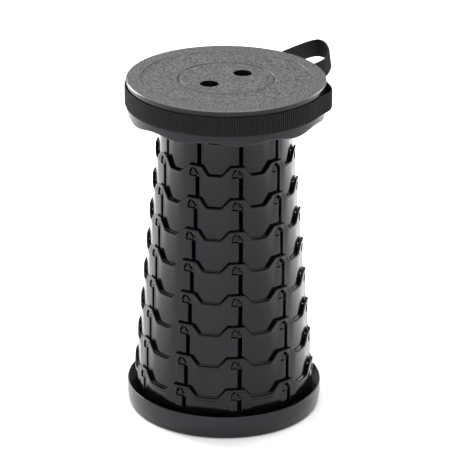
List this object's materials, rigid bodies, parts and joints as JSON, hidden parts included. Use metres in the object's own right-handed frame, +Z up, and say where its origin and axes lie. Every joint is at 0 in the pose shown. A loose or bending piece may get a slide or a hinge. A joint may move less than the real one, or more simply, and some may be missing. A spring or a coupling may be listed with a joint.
{
  "type": "telescopic camp stool",
  "caption": "Round telescopic camp stool: nested sleeves with lug locks draw out of a base tray, under a round seat with a hatch lid and a webbing carry strap.",
  "frame": {"origin": "centre of the base tray's flat underside, on the sleeves' common axis", "axes": "+Z up along the sleeves' axis, -Y the stool's front (the side away from the carry loop), +X its right"},
  "size_m": [0.2612, 0.3047, 0.44],
  "materials": {
    "sleeve_plastic": "satin injection-moulded polypropylene, black",
    "tray_plastic": "semi-gloss injection-moulded polypropylene, black",
    "skirt_plastic": "satin injection-moulded polypropylene, black",
    "seat_plastic": "fine stippled moulding, charcoal",
    "webbing": "ribbed polypropylene webbing, black",
    "screw_steel": "zinc-plated steel"
  },
  "bodies": {
    "base": {"base_tray": "tray_plastic", "ring_9": "sleeve_plastic"},
    "sleeve_8": {"ring_8": "sleeve_plastic"},
    "sleeve_7": {"ring_7": "sleeve_plastic"},
    "sleeve_6": {"ring_6": "sleeve_plastic"},
    "sleeve_5": {"ring_5": "sleeve_plastic"},
    "sleeve_4": {"ring_4": "sleeve_plastic"},
    "sleeve_3": {"ring_3": "sleeve_plastic"},
    "sleeve_2": {"ring_2": "sleeve_plastic"},
    "sleeve_1": {"ring_1": "sleeve_plastic"},
    "seat": {"seat_collar": "sleeve_plastic", "seat_deck": "skirt_plastic", "seat_skirt": "skirt_plastic", "seat_panel": "seat_plastic", "seat_screws": "screw_steel", "wrap_strap": "webbing", "carry_loop": "webbing"},
    "hatch": {"hatch_lid": "seat_plastic"}
  },
  "joints": [
    {"name": "sleeve_8_slide", "type": "slide", "parent": "base", "child": "sleeve_8", "axis": [0, 0, -1], "range_m": [0, 0.0412]},
    {"name": "sleeve_7_slide", "type": "slide", "parent": "sleeve_8", "child": "sleeve_7", "axis": [0, 0, -1], "range_m": [0, 0.0412]},
    {"name": "sleeve_6_slide", "type": "slide", "parent": "sleeve_7", "child": "sleeve_6", "axis": [0, 0, -1], "range_m": [0, 0.0412]},
    {"name": "sleeve_5_slide", "type": "slide", "parent": "sleeve_6", "child": "sleeve_5", "axis": [0, 0, -1], "range_m": [0, 0.0412]},
    {"name": "sleeve_4_slide", "type": "slide", "parent": "sleeve_5", "child": "sleeve_4", "axis": [0, 0, -1], "range_m": [0, 0.0412]},
    {"name": "sleeve_3_slide", "type": "slide", "parent": "sleeve_4", "child": "sleeve_3", "axis": [0, 0, -1], "range_m": [0, 0.0412]},
    {"name": "sleeve_2_slide", "type": "slide", "parent": "sleeve_3", "child": "sleeve_2", "axis": [0, 0, -1], "range_m": [0, 0.0412]},
    {"name": "sleeve_1_slide", "type": "slide", "parent": "sleeve_2", "child": "sleeve_1", "axis": [0, 0, -1], "range_m": [0, 0.0412]},
    {"name": "seat_slide", "type": "slide", "parent": "sleeve_1", "child": "seat", "axis": [0, 0, -1], "range_m": [0, 0.033]},
    {"name": "hatch_lift", "type": "slide", "parent": "seat", "child": "hatch", "axis": [0, 0, 1], "range_m": [0, 0.05]}
  ]
}
